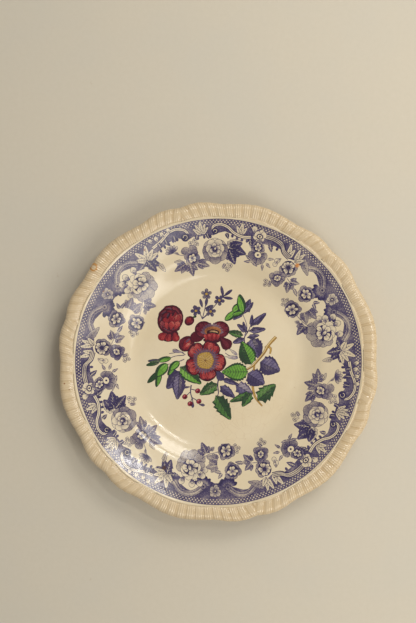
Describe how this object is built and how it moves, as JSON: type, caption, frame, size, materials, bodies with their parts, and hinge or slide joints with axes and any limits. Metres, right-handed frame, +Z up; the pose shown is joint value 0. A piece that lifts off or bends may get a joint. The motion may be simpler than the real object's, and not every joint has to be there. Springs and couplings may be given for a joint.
{
  "type": "dinner plate",
  "caption": "Round dinner plate with a lobed gadrooned edge, a printed violet flower border and a painted rose bouquet, standing on a foot ring.",
  "frame": {"origin": "centre of the circle on which the foot ring stands, at the height of the table", "axes": "+Z up, out of the plate's face; +Y towards the top of the bouquet, +X to its right"},
  "size_m": [0.269, 0.2696, 0.0254],
  "materials": {
    "biscuit": "fired earthenware, bare and slightly worn on the foot ring",
    "glaze": "glossy cream glaze, yellowed, finely crazed",
    "violet_ink": "violet-grey transfer print, hatched and dotted, glossy",
    "violet_print": "violet print with dark veins, glossy",
    "rose_enamel": "shaded red to burgundy enamel, glossy",
    "stamen_enamel": "stippled yellow enamel, glossy",
    "green_enamel": "leaf green enamel over dark hatching, glossy",
    "ochre_enamel": "ochre enamel, glossy"
  },
  "bodies": {
    "root": {"earthenware_body": "biscuit", "glaze_coat": "glaze", "underside_glaze": "glaze", "berry_enamel_1": "rose_enamel", "berry_enamel_2": "rose_enamel", "berry_enamel_3": "rose_enamel", "berry_enamel_4": "rose_enamel", "border_transfer_1": "violet_ink", "border_transfer_2": "violet_ink", "border_transfer_3": "violet_ink", "cup_rose_enamel": "rose_enamel", "green_bud_enamel_1": "green_enamel", "green_bud_enamel_2": "green_enamel", "green_bud_enamel_3": "green_enamel", "green_bud_enamel_4": "green_enamel", "green_leaf_enamel_1": "green_enamel", "green_leaf_enamel_2": "green_enamel", "green_leaf_enamel_3": "green_enamel", "green_leaf_enamel_4": "green_enamel", "green_leaf_enamel_5": "green_enamel", "green_leaf_enamel_6": "green_enamel", "green_leaf_enamel_7": "green_enamel", "green_leaf_enamel_8": "green_enamel", "ochre_twig_enamel_1": "ochre_enamel", "ochre_twig_enamel_2": "ochre_enamel", "open_rose_enamel": "rose_enamel", "open_rose_stamens": "stamen_enamel", "peony_enamel": "rose_enamel", "rosebud_enamel_1": "rose_enamel", "rosebud_enamel_2": "rose_enamel", "violet_cluster_print": "violet_print", "violet_leaf_print_1": "violet_print", "violet_leaf_print_2": "violet_print", "violet_leaf_print_3": "violet_print", "violet_leaf_print_4": "violet_print", "violet_leaf_print_5": "violet_print", "violet_leaf_print_6": "violet_print", "violet_leaf_print_7": "violet_print", "violet_spray_print_1": "violet_print", "violet_spray_print_2": "violet_print", "violet_stem_print_1": "violet_print", "violet_stem_print_2": "violet_print", "violet_stem_print_3": "violet_print"}
  },
  "joints": []
}
